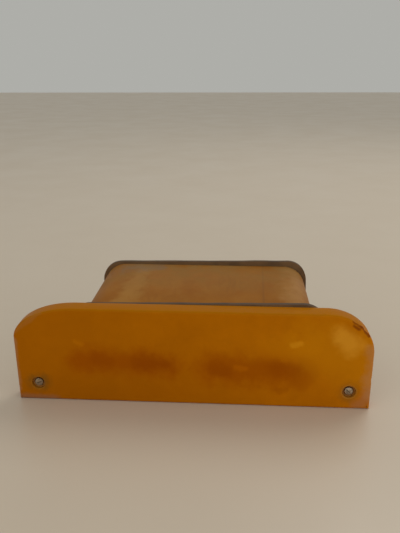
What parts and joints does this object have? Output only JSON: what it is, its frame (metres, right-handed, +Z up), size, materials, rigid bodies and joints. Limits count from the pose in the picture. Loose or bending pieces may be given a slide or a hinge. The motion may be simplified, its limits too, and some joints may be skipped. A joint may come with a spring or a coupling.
{
  "type": "pedestrian crossing warning light",
  "caption": "Flush-mounting amber warning light: a thick amber face plate on an amber barrel between two black gaskets, with a rear cover that draws out on tie rods.",
  "frame": {"origin": "middle of the face plate's bottom edge, on the surface that the light stands on", "axes": "+X along the face plate to the right as seen from the front, +Y to the rear, +Z up"},
  "size_m": [0.24, 0.1225, 0.0704],
  "materials": {
    "amber_plate": "satin, cloudy",
    "amber_barrel": "satin, dusty",
    "black_rubber": "matte",
    "screw_steel": "satin",
    "alloy": "satin",
    "brass": "satin",
    "spring_brass": "satin",
    "cover_paint": "satin",
    "white_enamel": "gloss",
    "board": "satin",
    "lamp_glass": "clear",
    "plated_caps": "plated",
    "filament": "dull",
    "block_plastic": "satin",
    "red_insulation": "satin",
    "black_insulation": "satin",
    "gland_plastic": "satin"
  },
  "bodies": {
    "housing": {"face_plate": "amber_plate", "face_inserts": "brass", "mounting_screws": "screw_steel", "screw_cups": "black_rubber", "front_gasket": "black_rubber", "barrel": "amber_barrel", "rear_gasket": "black_rubber", "tie_rods": "screw_steel"},
    "gear_tray": {"rear_cover": "cover_paint", "cover_washers": "screw_steel", "lamp_tray": "white_enamel", "tray_screws": "screw_steel", "reflector": "white_enamel", "reflector_rivets": "alloy", "lamp_board": "board", "board_screws": "screw_steel", "left_end_clip": "spring_brass", "centre_clip": "spring_brass", "right_end_clip": "spring_brass", "clip_rivets": "alloy", "left_lamp_glass": "lamp_glass", "left_lamp_caps": "plated_caps", "left_lamp_filament": "filament", "right_lamp_glass": "lamp_glass", "right_lamp_caps": "plated_caps", "right_lamp_filament": "filament", "terminal_block": "block_plastic", "terminal_sleeves": "brass", "terminal_screws": "screw_steel", "block_screws": "screw_steel", "left_lead": "red_insulation", "common_lead": "black_insulation", "right_lead": "red_insulation", "earth_screw": "screw_steel", "earth_tag": "brass", "earth_nut": "brass", "gland_body": "gland_plastic", "gland_washer": "black_rubber", "gland_locknut": "gland_plastic", "gland_seal": "black_rubber"},
    "nut_1": {"thumb_nut_1": "brass", "nut_clip_1": "screw_steel"},
    "nut_2": {"thumb_nut_2": "brass", "nut_clip_2": "screw_steel"},
    "nut_3": {"thumb_nut_3": "brass", "nut_clip_3": "screw_steel"},
    "nut_4": {"thumb_nut_4": "brass", "nut_clip_4": "screw_steel"},
    "cap": {"gland_cap": "gland_plastic"}
  },
  "joints": [
    {"name": "draw_out", "type": "slide", "parent": "housing", "child": "gear_tray", "axis": [0, 1, 0], "range_m": [0, 0.09]},
    {"name": "nut_1_turn", "type": "hinge", "parent": "gear_tray", "child": "nut_1", "pos_m": [-0.0648, 0.104, 0.0562], "axis": [0, 1, 0], "continuous": true},
    {"name": "nut_2_turn", "type": "hinge", "parent": "gear_tray", "child": "nut_2", "pos_m": [0.0712, 0.104, 0.0562], "axis": [0, 1, 0], "continuous": true},
    {"name": "nut_3_turn", "type": "hinge", "parent": "gear_tray", "child": "nut_3", "pos_m": [-0.0648, 0.104, 0.0122], "axis": [0, 1, 0], "continuous": true},
    {"name": "nut_4_turn", "type": "hinge", "parent": "gear_tray", "child": "nut_4", "pos_m": [0.0712, 0.104, 0.0122], "axis": [0, 1, 0], "continuous": true},
    {"name": "cap_turn", "type": "hinge", "parent": "gear_tray", "child": "cap", "pos_m": [0.0412, 0.11, 0.0342], "axis": [0, 1, 0], "range_deg": [-1080, 0]}
  ]
}
